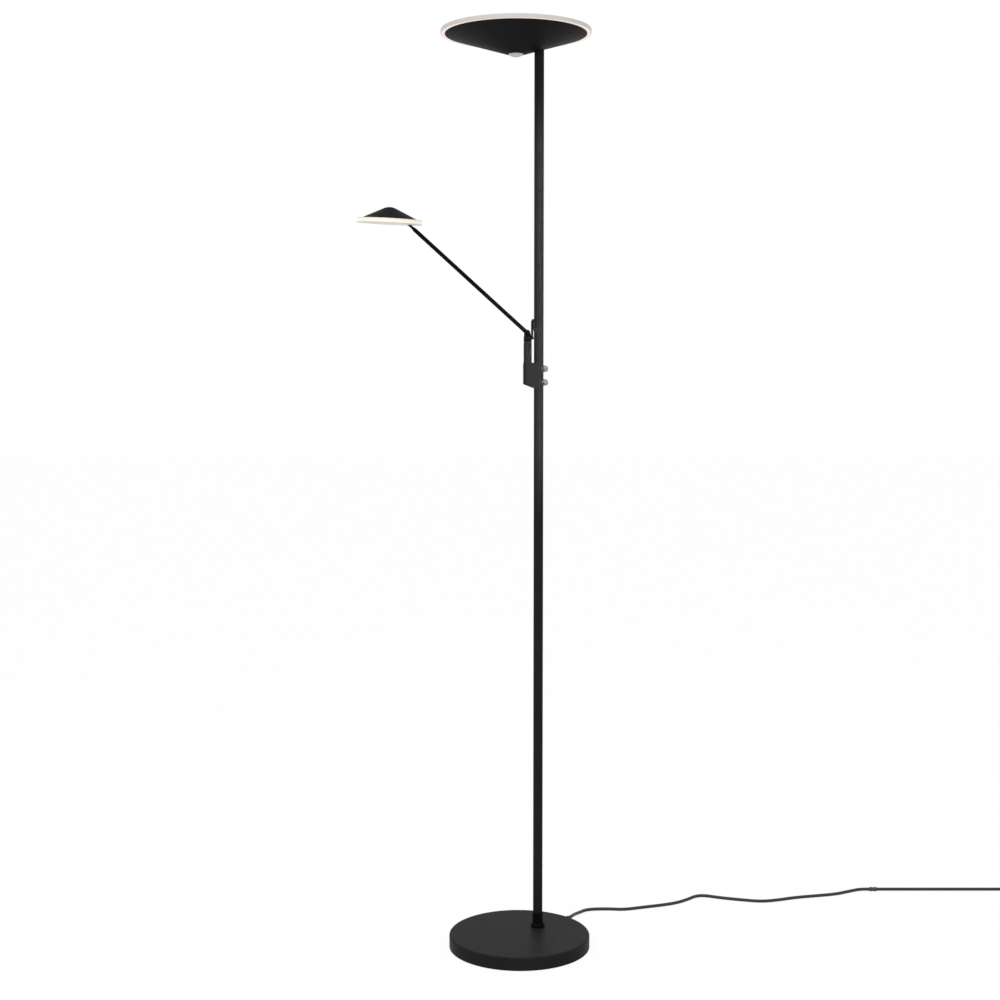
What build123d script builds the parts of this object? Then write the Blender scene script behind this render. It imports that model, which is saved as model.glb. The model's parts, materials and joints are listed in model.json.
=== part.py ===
"""Floor lamp: an uplighter on a slim pole, with a reading arm and two dimmer knobs.

Millimetres, +Z up. The origin is the middle of the round base, on the floor.
The reading arm lies along -X and the knobs point along +X.
"""

import math
import os

from build123d import *

os.makedirs("parts", exist_ok=True)

# Driving sizes
total_height = 1800.0
base_radius = 140.0
base_height = 27.0
pole_radius = 9.5
pole_offset = 53.0
pole_bearing = 45.0
shade_radius = 145.0
shade_bearing = 211.0
shade_thickness = 8.0
cone_rim_radius = 137.0
cone_tip_radius = 17.0
cone_depth = 38.0
control_height = 1138.0
housing_height = 50.0
knob_spacing = 26.8
arm_length = 320.0
arm_rise = 42.3
arm_radius = 4.0
head_radius = 63.6
head_thickness = 9.5
head_depth = 23.0
head_offset = 33.0
head_lean = 2.8
head_roll = 4.3
cord_radius = 3.4
lead_radius = 2.2

# Gaps and walls
slip = 0.05
seat = 0.05
loose = 0.3
clear = 0.5
pole_wall = 1.0
cover_wall = 1.5
shell_wall = 1.3
cast_wall = 2.0

# Places that follow from the driving sizes
pole_x = pole_offset * math.cos(math.radians(pole_bearing))
pole_y = pole_offset * math.sin(math.radians(pole_bearing))
shade_x = pole_x + pole_offset * math.cos(math.radians(shade_bearing))
shade_y = pole_y + pole_offset * math.sin(math.radians(shade_bearing))
pole_axis = Axis((pole_x, pole_y, 0), (0, 0, 1))
shade_axis = Axis((shade_x, shade_y, 0), (0, 0, 1))
pole_bore = pole_radius - pole_wall
plug_radius = pole_bore - seat
wire_bore = 0.6 * plug_radius


def level(x, y, height):
    """A horizontal plane at a height, centred on a vertical axis."""
    return Plane((x, y, height))


def upright(x, y):
    """The upright plane that faces the front, for outlines about a vertical axis."""
    return Plane(origin=(x, y, 0), x_dir=(1, 0, 0), z_dir=(0, -1, 0))


def turned(plane, axis, *outline):
    """A solid of revolution from a closed outline of (radius, height) points."""
    with BuildPart() as piece:
        with BuildSketch(plane):
            with BuildLine():
                Polyline(*outline, close=True)
            make_face()
        revolve(axis=axis)
    return piece


def ring(plane, outer, inner, length):
    """A straight tube or washer that stands on a plane."""
    with BuildPart() as piece:
        with BuildSketch(plane):
            Circle(outer)
            Circle(inner, mode=Mode.SUBTRACT)
        extrude(amount=length)
    return piece


def rod(plane, radius, length):
    """A round bar that stands on a plane."""
    with BuildPart() as piece:
        with BuildSketch(plane):
            Circle(radius)
        extrude(amount=length)
    return piece


def save(piece, label):
    """Names a finished piece and writes its file."""
    piece.part.label = label
    export_step(piece.part, f"parts/{label}.step")


# Base: pad, weight, cover and the fixing under the pole
pad_thickness = 2.0
pad_inset = 6.0
cover_bottom = 1.5
edge_round = 3.5
weight_thickness = 9.0
weight_top = pad_thickness + weight_thickness
weight_radius = base_radius - cover_wall - loose
nipple_radius = 0.82 * plug_radius
nipple_bottom = pad_thickness + 0.4
nut_flats = 2.0 * nipple_radius + 6.0
nut_recess = 0.5 * nut_flats + 4.0
nut_recess_depth = 6.0
nut_flange = 1.5
cover_underside = base_height - cover_wall
hub_radius = nipple_radius + 5.5
exit_bearing = 50.0
exit_drop = 12.0
exit_height = base_height - exit_drop
exit_way = Vector(math.cos(math.radians(exit_bearing)), math.sin(math.radians(exit_bearing)), 0)
exit_side = Vector(-exit_way.Y, exit_way.X, 0)
boot_neck = 5.3
boot_flange = 6.5
exit_plane = Plane(origin=(0, 0, exit_height), x_dir=exit_side, z_dir=exit_way)

with BuildPart() as foot_pad:
    with BuildSketch(Plane.XY):
        Circle(base_radius - pad_inset)
        with Locations((pole_x, pole_y)):
            Circle(nut_recess + 1, mode=Mode.SUBTRACT)
    extrude(amount=pad_thickness)
    fillet(foot_pad.edges().group_by(Axis.Z)[0], 0.6)
save(foot_pad, "foot_pad")

with BuildPart() as base_weight:
    with BuildSketch(Plane.XY.offset(pad_thickness)):
        Circle(weight_radius)
    extrude(amount=weight_thickness)
    chamfer(base_weight.edges().filter_by(GeomType.CIRCLE), 1.2)
    with BuildSketch(level(pole_x, pole_y, pad_thickness)):
        Circle(nut_recess)
    extrude(amount=nut_recess_depth, mode=Mode.SUBTRACT)
    with BuildSketch(level(pole_x, pole_y, pad_thickness)):
        Circle(nipple_radius + loose)
    extrude(amount=weight_thickness, mode=Mode.SUBTRACT)
    # Notch behind the cord boot and six shallow casting pockets on the top
    with BuildSketch(exit_plane.offset(weight_radius)):
        Rectangle(2 * boot_flange + 3, 2 * boot_flange + 3)
    extrude(amount=-6.0, mode=Mode.SUBTRACT)
    with BuildSketch(Plane.XY.offset(weight_top)):
        with PolarLocations(0.78 * weight_radius, 6, start_angle=exit_bearing + 30):
            SlotOverall(0.5 * weight_radius, 18, rotation=90)
    extrude(amount=-3.0, mode=Mode.SUBTRACT)
save(base_weight, "base_weight")

with BuildPart() as base_cover:
    with BuildSketch(Plane.XY.offset(cover_bottom)):
        Circle(base_radius)
    extrude(amount=base_height - cover_bottom)
    fillet(base_cover.edges().group_by(Axis.Z)[-1], edge_round)
    offset(amount=-cover_wall, openings=base_cover.faces().sort_by(Axis.Z)[0])
    with BuildSketch(level(pole_x, pole_y, base_height)):
        Circle(nipple_radius + loose)
    extrude(amount=-2 * cover_wall, mode=Mode.SUBTRACT)
    with BuildSketch(exit_plane.offset(base_radius + 5)):
        Circle(boot_neck + loose)
    extrude(amount=-12.0, mode=Mode.SUBTRACT)
save(base_cover, "base_cover")

# Lead inside the base, from the boot to a hole in the hub
boot_inner = base_radius - cover_wall - 3.2
boot_foot = Vector(0, 0, exit_height) + exit_way * boot_inner
hub_along = exit_way.dot(Vector(pole_x, pole_y, 0))
hub_aside = exit_side.dot(Vector(pole_x, pole_y, 0))
base_lead_end = hub_along + math.sqrt(hub_radius**2 - hub_aside**2) - 2.5
base_lead_length = boot_inner - base_lead_end
base_lead_plane = Plane(origin=boot_foot, x_dir=exit_side, z_dir=exit_way * -1)

with BuildPart() as base_hub:
    with BuildSketch(level(pole_x, pole_y, weight_top)):
        Circle(hub_radius)
        Circle(nipple_radius + loose, mode=Mode.SUBTRACT)
    extrude(amount=cover_underside - weight_top)
    with BuildSketch(base_lead_plane):
        Circle(cord_radius + loose)
    extrude(amount=base_lead_length + 2.0, mode=Mode.SUBTRACT)
save(base_hub, "base_hub")

collar_height = 30.0
collar_floor = 6.0
collar_top = base_height + collar_height
collar_flange = pole_radius + 4.4
collar_flange_height = 8.0
collar_round = 2.5
collar_sleeve = pole_radius + 0.9
pole_bottom = base_height + collar_floor
pole_plug_length = 22.0
nipple_reach = 14.5
nipple_top = pole_bottom + nipple_reach

with BuildPart() as foot_nipple:
    with BuildSketch(level(pole_x, pole_y, nipple_bottom)):
        Circle(nipple_radius)
        Circle(wire_bore, mode=Mode.SUBTRACT)
    extrude(amount=nipple_top - nipple_bottom)
    chamfer(foot_nipple.edges().group_by(Axis.Z)[-1].sort_by(SortBy.RADIUS)[-1], 0.6)
    # Window for the lead at the height of the hub
    with BuildSketch(base_lead_plane.offset(base_lead_length)):
        Circle(cord_radius)
    extrude(amount=nipple_radius + 2.0, mode=Mode.SUBTRACT)
save(foot_nipple, "foot_nipple")

with BuildPart() as foot_nut:
    nut_top = pad_thickness + nut_recess_depth
    with BuildSketch(level(pole_x, pole_y, nut_top)):
        Circle(nut_recess - 1.0)
    extrude(amount=-nut_flange)
    with BuildSketch(level(pole_x, pole_y, nut_top - nut_flange)):
        RegularPolygon(0.5 * nut_flats, 6, major_radius=False)
    extrude(amount=-(nut_recess_depth - nut_flange - 0.6))
    with BuildSketch(level(pole_x, pole_y, nut_top)):
        Circle(nipple_radius + seat)
    extrude(amount=-nut_recess_depth, mode=Mode.SUBTRACT)
save(foot_nut, "foot_nut")

with BuildPart() as foot_collar:
    with BuildSketch(upright(pole_x, pole_y)) as collar_profile:
        with BuildLine():
            Polyline(
                (nipple_radius + loose, base_height),
                (collar_flange, base_height),
                (collar_flange, base_height + collar_flange_height),
                (collar_sleeve, base_height + collar_flange_height),
                (collar_sleeve, collar_top),
                (pole_radius + slip, collar_top),
                (pole_radius + slip, pole_bottom),
                (nipple_radius + loose, pole_bottom),
                close=True,
            )
        make_face()
        outer_corners = collar_profile.vertices().group_by(Axis.X)[-1].sort_by(Axis.Z)
        fillet(outer_corners[-1], collar_round)
    revolve(axis=pole_axis)
save(foot_collar, "foot_collar")

pole_plug = turned(
    upright(pole_x, pole_y),
    pole_axis,
    (nipple_radius + seat, pole_bottom),
    (plug_radius, pole_bottom),
    (plug_radius, pole_bottom + pole_plug_length),
    (wire_bore, pole_bottom + pole_plug_length),
    (wire_bore, nipple_top + clear),
    (nipple_radius + seat, nipple_top + clear),
)
save(pole_plug, "pole_plug")

# Pole below the dimmer housing
housing_bottom = control_height - 0.5 * housing_height
housing_top = control_height + 0.5 * housing_height
joint_height = 0.5 * (pole_bottom + housing_bottom)
seam = 0.3
coupler_reach = 25.0

pole_lower = ring(
    level(pole_x, pole_y, pole_bottom), pole_radius, pole_bore, joint_height - 0.5 * seam - pole_bottom
)
save(pole_lower, "pole_lower")

pole_middle = ring(
    level(pole_x, pole_y, joint_height + 0.5 * seam),
    pole_radius,
    pole_bore,
    housing_bottom - joint_height - 0.5 * seam,
)
save(pole_middle, "pole_middle")

pole_coupler = turned(
    upright(pole_x, pole_y),
    pole_axis,
    (wire_bore, joint_height - coupler_reach),
    (plug_radius, joint_height - coupler_reach),
    (plug_radius, joint_height - 0.5 * seam),
    (pole_radius - 0.4, joint_height - 0.5 * seam),
    (pole_radius - 0.4, joint_height + 0.5 * seam),
    (plug_radius, joint_height + 0.5 * seam),
    (plug_radius, joint_height + coupler_reach),
    (wire_bore, joint_height + coupler_reach),
)
save(pole_coupler, "pole_coupler")

# Dimmer housing: a casting with the knobs on one side and the leg of the reading arm on the other
slot_width = 4.3
slot_round = 0.5 * slot_width
leg_width = 15.9
leg_depth = 16.0
leg_corner = 5.0
leg_edge = 0.8
leg_rise = 40.0
leg_top = housing_top + leg_rise
leg_x = -(pole_radius + slot_width + 0.5 * leg_width)
leg_right = leg_x + 0.5 * leg_width
block_step = 1.0
block_left = leg_x - 0.5 * leg_width - block_step
block_corner = 0.8 * pole_radius
underside_rise = 8.0
corner_run = 2.5
corner_share = 1 - corner_run / (-pole_radius - block_left)
corner_start = (block_left + corner_run, housing_bottom + corner_share * underside_rise)
corner_end = (block_left, corner_start[1] + 1.4 * corner_run)
underside_way = (corner_start[0] + pole_radius, corner_start[1] - housing_bottom)
spigot_reach = 20.0
spot_face = 0.61 * pole_radius
chamber_right = spot_face - cast_wall
chamber_left = block_left + 5.0
chamber_half = pole_radius - cast_wall
chamber_bottom = housing_bottom + 4.0
chamber_top = housing_top - 4.0
shelf_bottom = housing_bottom + underside_rise + cast_wall
skirt_radius = 8.0
bushing_radius = 3.5
stem_radius = 3.0
stem_reach = 22.0
stem_groove = 14.0
grub_radius = 1.5
hatch_x = 0.5 * (chamber_left - cast_wall)
hatch_width = 19.0
hatch_height = 0.56 * housing_height
hatch_middle = 0.5 * (shelf_bottom + chamber_top)
hatch_screw_gap = 0.5 * hatch_height - 2.3
hatch_thickness = 1.0
hatch_screw_radius = 1.1
hatch_screw_places = [(-hatch_x, hatch_middle + side * hatch_screw_gap) for side in (-1, 1)]
knob_heights = (control_height + 0.5 * knob_spacing, control_height - 0.5 * knob_spacing)
bracket_front = upright(pole_x, pole_y)
side_plane = Plane(origin=(pole_x, pole_y, 0), x_dir=(0, 1, 0), z_dir=(1, 0, 0))
back_plane = Plane(origin=(pole_x, pole_y + pole_radius, 0), x_dir=(-1, 0, 0), z_dir=(0, 1, 0))
grub_place = (pole_x + leg_x, pole_y, leg_top - stem_groove)
grub_plane = Plane(origin=grub_place, x_dir=(-1, 0, 0), z_dir=(0, 1, 0))

with BuildPart() as control_housing:
    with BuildSketch(level(pole_x, pole_y, housing_bottom)) as block_plan:
        Circle(pole_radius)
        with Locations((0.5 * block_left, 0)):
            Rectangle(-block_left, 2 * pole_radius)
        fillet(block_plan.vertices().group_by(Axis.X)[0], block_corner)
    extrude(amount=housing_height)
    # Underside rises towards the leg and turns up in a round corner
    with BuildSketch(bracket_front):
        with BuildLine():
            Polyline((-pole_radius, housing_bottom - 1), (-pole_radius, housing_bottom), corner_start)
            TangentArc(corner_start, corner_end, tangent=underside_way)
            Polyline(
                corner_end,
                (block_left - corner_run, corner_end[1]),
                (block_left - corner_run, housing_bottom - 1),
                (-pole_radius, housing_bottom - 1),
            )
        make_face()
    extrude(amount=2 * pole_radius, both=True, mode=Mode.SUBTRACT)
    with BuildSketch(level(pole_x, pole_y, housing_top)):
        with Locations((leg_x, 0)):
            RectangleRounded(leg_width, leg_depth, leg_corner)
    extrude(amount=leg_rise)
    fillet(control_housing.edges().group_by(Axis.Z)[-1], leg_edge)
    # Round corner at the foot of the leg, where the slot beside the pole ends
    with BuildSketch(bracket_front):
        with Locations((leg_right + 0.5 * slot_round, housing_top + 0.5 * slot_round)):
            Rectangle(slot_round, slot_round)
        with Locations((leg_right + slot_round, housing_top + slot_round)):
            Circle(slot_round, mode=Mode.SUBTRACT)
    extrude(amount=0.5 * leg_depth - leg_corner, both=True)
    with BuildSketch(level(pole_x, pole_y, housing_bottom - spigot_reach)):
        Circle(plug_radius)
    extrude(amount=housing_height + 2 * spigot_reach)
    with BuildSketch(level(pole_x, pole_y, housing_bottom - spigot_reach)):
        Circle(wire_bore)
    extrude(amount=housing_height + 2 * spigot_reach, mode=Mode.SUBTRACT)
    # Chamber for the dimmers, deeper over the sloping underside
    with BuildSketch(bracket_front):
        with Locations((0.5 * (chamber_right - pole_radius), 0.5 * (chamber_bottom + chamber_top))):
            Rectangle(chamber_right + pole_radius, chamber_top - chamber_bottom)
        with Locations((0.5 * (chamber_left - pole_radius), 0.5 * (shelf_bottom + chamber_top))):
            Rectangle(-pole_radius - chamber_left, chamber_top - shelf_bottom)
    extrude(amount=chamber_half, both=True, mode=Mode.SUBTRACT)
    # Hatch in the back wall, with a ledge for its screws
    with BuildSketch(back_plane):
        with Locations((-hatch_x, hatch_middle)):
            RectangleRounded(hatch_width, hatch_height, 2.0)
    extrude(amount=-hatch_thickness, mode=Mode.SUBTRACT)
    with BuildSketch(back_plane):
        with Locations((-hatch_x, hatch_middle)):
            Rectangle(hatch_width - 3, hatch_height - 9)
    extrude(amount=-2 * cast_wall, mode=Mode.SUBTRACT)
    with BuildSketch(back_plane):
        with Locations(*hatch_screw_places):
            Circle(hatch_screw_radius + seat)
    extrude(amount=-2 * cast_wall, mode=Mode.SUBTRACT)
    # Seats of the two dimmers
    with BuildSketch(side_plane.offset(spot_face)):
        with Locations(*[(0, height) for height in knob_heights]):
            Circle(skirt_radius + 0.8)
    extrude(amount=pole_radius, mode=Mode.SUBTRACT)
    with BuildSketch(side_plane.offset(chamber_right - 0.5)):
        with Locations(*[(0, height) for height in knob_heights]):
            Circle(bushing_radius + seat)
    extrude(amount=pole_radius, mode=Mode.SUBTRACT)
    # Bore of the arm's swivel and its grub screw
    with BuildSketch(level(pole_x + leg_x, pole_y, leg_top)):
        Circle(stem_radius + slip)
    extrude(amount=-(stem_reach + 1.0), mode=Mode.SUBTRACT)
    with BuildSketch(grub_plane):
        Circle(grub_radius + seat)
    extrude(amount=leg_depth, mode=Mode.SUBTRACT)
save(control_housing, "control_housing")

with BuildPart() as housing_hatch:
    with BuildSketch(back_plane):
        with Locations((-hatch_x, hatch_middle)):
            RectangleRounded(hatch_width - 2 * loose, hatch_height - 2 * loose, 2.0 - loose)
        with Locations(*hatch_screw_places):
            Circle(hatch_screw_radius + seat, mode=Mode.SUBTRACT)
    extrude(amount=-hatch_thickness)
save(housing_hatch, "housing_hatch")

with BuildPart() as hatch_screws:
    with BuildSketch(back_plane):
        with Locations(*hatch_screw_places):
            Circle(hatch_screw_radius + 1.0)
    extrude(amount=1.1)
    fillet(hatch_screws.edges().group_by(Axis.Y)[-1], 0.6)
    with BuildSketch(back_plane):
        with Locations(*hatch_screw_places):
            Circle(hatch_screw_radius)
    extrude(amount=-3.0)
save(hatch_screws, "hatch_screws")

# Dimmers and their knobs, on axes along +X
dimmer_half = 5.5
dimmer_depth = 7.5
board_thickness = 1.6
bushing_reach = spot_face + 2.5
shaft_radius = 2.0
shaft_start = chamber_right - 3.5
skirt_start = spot_face + 0.4
skirt_end = spot_face + 4.4
skirt_hollow = 6.4
skirt_bevel = 1.2
cap_radius = 6.4
cap_face_radius = 3.0
cap_straight = 1.5
cap_end = pole_radius + 9.0
hub_reach = cap_end - 3.0
shaft_reach = hub_reach - 0.2
cap_hub_radius = 3.6
grip_groove_radius = 0.5
grip_groove_count = 18
pointer_width = 0.8
pointer_depth = 1.2

with BuildPart() as dimmer_bodies:
    for height in knob_heights:
        with BuildSketch(side_plane.offset(chamber_right)):
            with Locations((0, height)):
                RectangleRounded(2 * dimmer_half, 2 * dimmer_half, 1.0)
        extrude(amount=-dimmer_depth)
        with BuildSketch(side_plane.offset(chamber_right)):
            with Locations((0, height)):
                Circle(bushing_radius)
        extrude(amount=bushing_reach - chamber_right)
        with BuildSketch(side_plane.offset(bushing_reach)):
            with Locations((0, height)):
                Circle(shaft_radius + slip)
        extrude(amount=-(bushing_reach - shaft_start + clear), mode=Mode.SUBTRACT)
save(dimmer_bodies, "dimmer_bodies")

with BuildPart() as dimmer_board:
    with BuildSketch(side_plane.offset(chamber_right - dimmer_depth)):
        with Locations((0, control_height)):
            Rectangle(2 * dimmer_half, chamber_top - chamber_bottom - 1.0)
    extrude(amount=-board_thickness)
    # Two capacitors and a regulator stand on the far side of the board
    with BuildSketch(side_plane.offset(chamber_right - dimmer_depth - board_thickness)):
        with Locations((0, control_height + 11), (0, control_height + 3)):
            Circle(3.0)
    extrude(amount=-8.0)
    with BuildSketch(side_plane.offset(chamber_right - dimmer_depth - board_thickness)):
        with Locations((0, control_height - 6)):
            Rectangle(8.0, 5.0)
    extrude(amount=-3.0)
save(dimmer_board, "dimmer_board")

with BuildPart() as dimmer_nuts:
    with BuildSketch(side_plane.offset(spot_face)):
        with Locations(*[(0, height) for height in knob_heights]):
            RegularPolygon(5.0, 6, major_radius=False)
            Circle(bushing_radius + seat, mode=Mode.SUBTRACT)
    extrude(amount=1.8)
save(dimmer_nuts, "dimmer_nuts")

for name, height in zip(("upper", "lower"), knob_heights):
    knob_axis = Axis((pole_x, pole_y, height), (1, 0, 0))
    knob_profile = Plane(origin=(pole_x, pole_y, height), x_dir=(1, 0, 0), z_dir=(0, -1, 0))

    shaft_plane = Plane(origin=(pole_x + shaft_start, pole_y, height), x_dir=(0, 1, 0), z_dir=(1, 0, 0))
    shaft = rod(shaft_plane, shaft_radius, shaft_reach - shaft_start)
    save(shaft, f"{name}_dimmer_shaft")

    with BuildPart() as skirt:
        with BuildSketch(knob_profile):
            with BuildLine():
                Polyline(
                    (bushing_reach + loose, shaft_radius + 0.02),
                    (bushing_reach + loose, skirt_hollow),
                    (skirt_start, skirt_hollow),
                    (skirt_start, skirt_radius),
                    (skirt_end - skirt_bevel, skirt_radius),
                    (skirt_end, skirt_radius - skirt_bevel),
                    (skirt_end, cap_hub_radius),
                    (hub_reach, cap_hub_radius),
                    (hub_reach, shaft_radius + 0.02),
                    close=True,
                )
            make_face()
        revolve(axis=knob_axis)
    save(skirt, f"{name}_knob_skirt")

    with BuildPart() as cap:
        with BuildSketch(knob_profile):
            with BuildLine():
                Polyline(
                    (cap_end, cap_face_radius),
                    (cap_end, 0),
                    (hub_reach + clear, 0),
                    (hub_reach + clear, cap_hub_radius + seat),
                    (skirt_end, cap_hub_radius + seat),
                    (skirt_end, cap_radius),
                    (skirt_end + cap_straight, cap_radius),
                )
                TangentArc(
                    (skirt_end + cap_straight, cap_radius), (cap_end, cap_face_radius), tangent=(1, 0)
                )
            make_face()
        revolve(axis=knob_axis)
        # Grip grooves round the domed cap and a pointer groove across its face
        with BuildSketch(side_plane.offset(skirt_end + cap_straight)):
            with Locations((0, height)):
                with PolarLocations(cap_radius, grip_groove_count):
                    Circle(grip_groove_radius)
        extrude(amount=cap_end, mode=Mode.SUBTRACT)
        with BuildSketch(side_plane.offset(cap_end)):
            with Locations((0, height + 0.5 * cap_radius)):
                Rectangle(pointer_width, cap_radius)
        extrude(amount=-pointer_depth, mode=Mode.SUBTRACT)
    save(cap, f"{name}_knob_cap")

# Swivel and tilt joint of the reading arm
washer_thickness = 1.0
knuckle_bottom = leg_top + washer_thickness + slip
knuckle_radius = 0.5 * leg_width
pivot_x = leg_x - 1.0
pivot_rise = 18.7
pivot_height = leg_top + pivot_rise
ear_radius = 6.0
ear_half = 7.0
ear_gap_half = 4.0
ear_base = 3.0
ear_floor = leg_top + 10.0
boss_x = leg_x + 8.7
boss_top = leg_top + 11.0
boss_height = 5.0
boss_radius = lead_radius + 0.9
lead_seat_depth = 3.8
pivot_pin = 2.0
pivot_head_radius = 3.8
pivot_head = 2.2
pivot_key = 1.5
pivot_key_depth = 1.2
pivot_nut_half = 3.5
pivot_nut_thickness = 2.6
eye_radius = 5.5
tongue_half = 3.0
swivel_axis = Axis((pole_x + leg_x, pole_y, 0), (0, 0, 1))
pivot = Vector(pole_x + pivot_x, pole_y, pivot_height)
pivot_front = Plane(origin=pivot, x_dir=(1, 0, 0), z_dir=(0, -1, 0))

leg_end = level(pole_x + leg_x, pole_y, leg_top)
swivel_washer = ring(leg_end, knuckle_radius - leg_edge, stem_radius + loose, washer_thickness)
save(swivel_washer, "swivel_washer")

groove_depth = 1.2
screw_start = stem_radius - groove_depth + 0.4
swivel_screw = rod(grub_plane.offset(screw_start), grub_radius, 0.5 * leg_depth - screw_start - 0.3)
save(swivel_screw, "swivel_screw")

with BuildPart() as swivel_knuckle:
    with BuildSketch(upright(pole_x + leg_x, pole_y)):
        with BuildLine():
            Polyline(
                (0, leg_top - stem_reach),
                (stem_radius, leg_top - stem_reach),
                (stem_radius, leg_top - stem_groove - 2.0),
                (stem_radius - groove_depth, leg_top - stem_groove - 2.0),
                (stem_radius - groove_depth, leg_top - stem_groove + 2.0),
                (stem_radius, leg_top - stem_groove + 2.0),
                (stem_radius, knuckle_bottom),
                (knuckle_radius, knuckle_bottom),
                (knuckle_radius, ear_floor),
                (0, ear_floor),
                close=True,
            )
        make_face()
    revolve(axis=swivel_axis)
    # Two ears that carry the tilt pin
    with BuildSketch(bracket_front) as ears:
        with Locations((pivot_x, pivot_height)):
            Circle(ear_radius)
        with Locations((leg_x, ear_floor - 0.5 * ear_base)):
            Rectangle(2 * knuckle_radius - 1.0, ear_base)
        make_hull()
    extrude(amount=ear_half, both=True)
    with BuildSketch(level(pole_x, pole_y, ear_floor)):
        with Locations((pivot_x, 0)):
            Rectangle(4 * ear_radius, 2 * ear_gap_half)
    extrude(amount=4 * ear_radius, mode=Mode.SUBTRACT)
    # Boss that takes the end of the arm lead
    with BuildSketch(level(pole_x + boss_x, pole_y, boss_top)):
        Circle(boss_radius)
    extrude(amount=-boss_height)
    with BuildSketch(level(pole_x + boss_x, pole_y, boss_top)):
        Circle(lead_radius + seat)
    extrude(amount=-lead_seat_depth, mode=Mode.SUBTRACT)
    with BuildSketch(pivot_front):
        Circle(pivot_pin + seat)
    extrude(amount=2 * ear_half, both=True, mode=Mode.SUBTRACT)
save(swivel_knuckle, "swivel_knuckle")

with BuildPart() as arm_pivot:
    with BuildSketch(pivot_front.offset(ear_half)):
        Circle(pivot_head_radius)
    extrude(amount=pivot_head)
    fillet(arm_pivot.edges().group_by(Axis.Y)[0], 0.8)
    with BuildSketch(pivot_front.offset(ear_half + pivot_head)):
        RegularPolygon(pivot_key, 6)
    extrude(amount=-pivot_key_depth, mode=Mode.SUBTRACT)
    with BuildSketch(pivot_front.offset(ear_half)):
        Circle(pivot_pin)
    extrude(amount=-(2 * ear_half + pivot_nut_thickness + 0.4))
save(arm_pivot, "arm_pivot")

with BuildPart() as arm_pivot_nut:
    with BuildSketch(pivot_front.offset(-ear_half)):
        RegularPolygon(pivot_nut_half, 6, major_radius=False)
        Circle(pivot_pin + seat, mode=Mode.SUBTRACT)
    extrude(amount=-pivot_nut_thickness)
save(arm_pivot_nut, "arm_pivot_nut")

with BuildPart() as tilt_washers:
    for side in (1, -1):
        with BuildSketch(pivot_front.offset(side * (tongue_half + slip))):
            Circle(eye_radius - 0.8)
            Circle(pivot_pin + seat, mode=Mode.SUBTRACT)
        extrude(amount=side * (ear_gap_half - tongue_half - 2 * slip))
save(tilt_washers, "tilt_washers")

# Reading arm
arm_way = Vector(-math.cos(math.radians(arm_rise)), 0, math.sin(math.radians(arm_rise)))
arm_end = pivot + arm_way * arm_length
arm_section = Plane(origin=pivot, x_dir=(0, 1, 0), z_dir=arm_way)
arm_front = Plane(origin=pivot, x_dir=arm_way, z_dir=(0, -1, 0))
arm_axis = Axis(pivot, arm_way)
tube_start = 14.0
tip_length = 26.0
tube_end = arm_length - tip_length
arm_wall = 1.0
arm_bore = arm_radius - arm_wall
fitting_reach = 20.0
tip_half = 0.63 * arm_radius
tip_eye = 3.0
head_pin_radius = 1.5
roll = math.radians(head_roll)
arm_side = Vector(math.sin(math.radians(arm_rise)), 0, math.cos(math.radians(arm_rise)))
pin_way = Vector(0, 1, 0) * math.cos(roll) + arm_side * math.sin(roll)
tip_front = Plane(origin=pivot, x_dir=arm_way, z_dir=-pin_way)

with BuildPart() as arm_eye:
    with BuildSketch(arm_front):
        Circle(eye_radius)
        with Locations((0.5 * tube_start - 1, 0)):
            Rectangle(tube_start - 2, 2 * arm_radius)
    extrude(amount=tongue_half, both=True)
    with BuildSketch(arm_section.offset(tube_start - 4.0)):
        Circle(arm_radius)
    extrude(amount=4.0)
    with BuildSketch(arm_section.offset(tube_start)):
        Circle(arm_bore - seat)
    extrude(amount=fitting_reach)
    with BuildSketch(arm_front):
        Circle(pivot_pin + slip)
    extrude(amount=2 * tongue_half, both=True, mode=Mode.SUBTRACT)
save(arm_eye, "arm_eye")

arm_tube = ring(arm_section.offset(tube_start), arm_radius, arm_bore, tube_end - tube_start)
save(arm_tube, "arm_tube")

with BuildPart() as arm_tip:
    with BuildSketch(tip_front):
        with BuildLine():
            Polyline(
                (tube_end - fitting_reach, 0),
                (tube_end - fitting_reach, arm_bore - slip),
                (tube_end + slip, arm_bore - slip),
                (tube_end + slip, arm_radius),
                (tube_end + 4.0, arm_radius),
                (tube_end + 10.0, tip_half),
                (arm_length - 4.0, tip_half),
                (arm_length - 4.0, 0),
                close=True,
            )
        make_face()
    revolve(axis=arm_axis)
    with BuildSketch(tip_front):
        with Locations((arm_length, 0)):
            Circle(tip_eye)
        with Locations((arm_length - 4.0, 0)):
            Rectangle(8.0, 2 * tip_half)
    extrude(amount=tip_half, both=True)
    with BuildSketch(tip_front):
        with Locations((arm_length, 0)):
            Circle(head_pin_radius + slip)
    extrude(amount=2 * tip_half, both=True, mode=Mode.SUBTRACT)
save(arm_tip, "arm_tip")

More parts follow.
